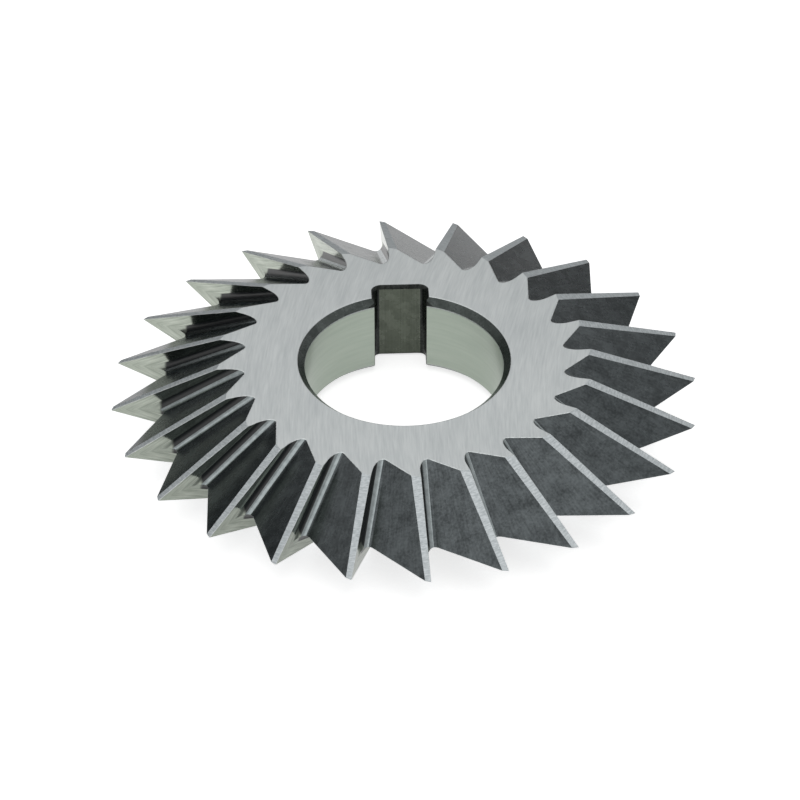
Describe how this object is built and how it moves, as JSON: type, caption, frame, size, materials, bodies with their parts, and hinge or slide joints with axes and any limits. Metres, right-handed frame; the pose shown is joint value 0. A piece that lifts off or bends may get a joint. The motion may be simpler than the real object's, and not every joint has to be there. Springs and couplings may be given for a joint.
{
  "type": "double-angle milling cutter",
  "caption": "Disc-shaped milling cutter with a double-cone rim of straight ground teeth, a chamfered arbor bore and a keyway.",
  "frame": {"origin": "on the bore's axis, in the plane of the tooth points, midway between the hub faces", "axes": "+Z along the bore's axis; +Y through the middle of the keyway; seen from +Z the tooth faces look anticlockwise"},
  "size_m": [0.0798, 0.0798, 0.012],
  "materials": {
    "cutter_steel": "ground on the hub faces, lands, tooth faces and bore; black-oxide gullets, chamfers and keyway"
  },
  "bodies": {
    "root": {"cutter_body": "cutter_steel"}
  },
  "joints": []
}
